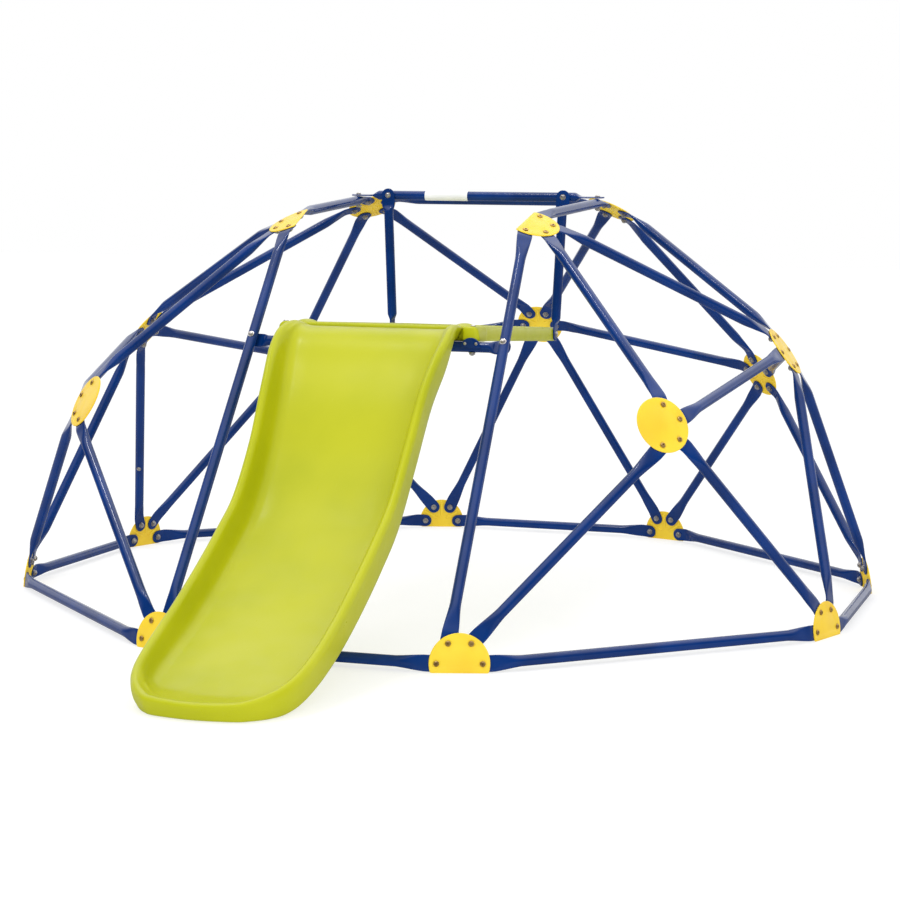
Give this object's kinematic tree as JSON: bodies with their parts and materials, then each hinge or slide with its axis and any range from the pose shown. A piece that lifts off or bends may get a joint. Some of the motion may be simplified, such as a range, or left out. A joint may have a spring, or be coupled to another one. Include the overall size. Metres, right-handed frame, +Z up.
{
  "type": "dome climber with slide",
  "caption": "Low climbing dome for small children: bolted steel tube frame on round hub plates, with a moulded platform inside and a curved slide out of one side.",
  "frame": {"origin": "middle of the footprint's bounding box, on the ground", "axes": "+Z up, the slide runs out along -Y, +X to the right of someone who faces the dome from behind the slide's foot looking along +Y"},
  "size_m": [2.1668, 2.7714, 1.0477],
  "materials": {
    "tube_blue": "gloss powder coat",
    "plate_yellow": "gloss powder coat on pressed steel",
    "slide_lime": "satin blow-moulded polyethylene"
  },
  "bodies": {
    "root": {"base_rail_B1_B2": "tube_blue", "base_rail_B2_B3": "tube_blue", "base_rail_B3_B4": "tube_blue", "base_rail_B4_B5": "tube_blue", "base_rail_B5_B6": "tube_blue", "base_rail_B6_B7": "tube_blue", "base_rail_B7_B8": "tube_blue", "base_rail_B8_B1": "tube_blue", "cross_bar": "tube_blue", "deck": "slide_lime", "hanger_bar": "tube_blue", "plate_M1": "plate_yellow", "plate_M2": "plate_yellow", "plate_M3": "plate_yellow", "plate_M4": "plate_yellow", "plate_M5": "plate_yellow", "plate_M6": "plate_yellow", "plate_M7": "plate_yellow", "plate_T1": "plate_yellow", "plate_T2": "plate_yellow", "plate_T3": "plate_yellow", "plate_T4": "plate_yellow", "post_left": "tube_blue", "post_right": "tube_blue", "slide": "slide_lime", "tube_M1_B1": "tube_blue", "tube_M1_B2": "tube_blue", "tube_M1_M2": "tube_blue", "tube_M2_B2": "tube_blue", "tube_M2_B3": "tube_blue", "tube_M2_M3": "tube_blue", "tube_M3_B3": "tube_blue", "tube_M3_B4": "tube_blue", "tube_M3_M4": "tube_blue", "tube_M4_B4": "tube_blue", "tube_M4_B5": "tube_blue", "tube_M4_M5": "tube_blue", "tube_M5_B5": "tube_blue", "tube_M5_B6": "tube_blue", "tube_M5_M6": "tube_blue", "tube_M6_B6": "tube_blue", "tube_M6_B7": "tube_blue", "tube_M6_M7": "tube_blue", "tube_M7_B7": "tube_blue", "tube_M7_B8": "tube_blue", "tube_T1_B8": "tube_blue", "tube_T1_M6": "tube_blue", "tube_T1_M7": "tube_blue", "tube_T1_T4": "tube_blue", "tube_T2_B1": "tube_blue", "tube_T2_M1": "tube_blue", "tube_T2_M2": "tube_blue", "tube_T3_M2": "tube_blue", "tube_T3_M3": "tube_blue", "tube_T3_M4": "tube_blue", "tube_T3_T2": "tube_blue", "tube_T4_M4": "tube_blue", "tube_T4_M5": "tube_blue", "tube_T4_M6": "tube_blue", "tube_T4_T3": "tube_blue"}
  },
  "joints": []
}
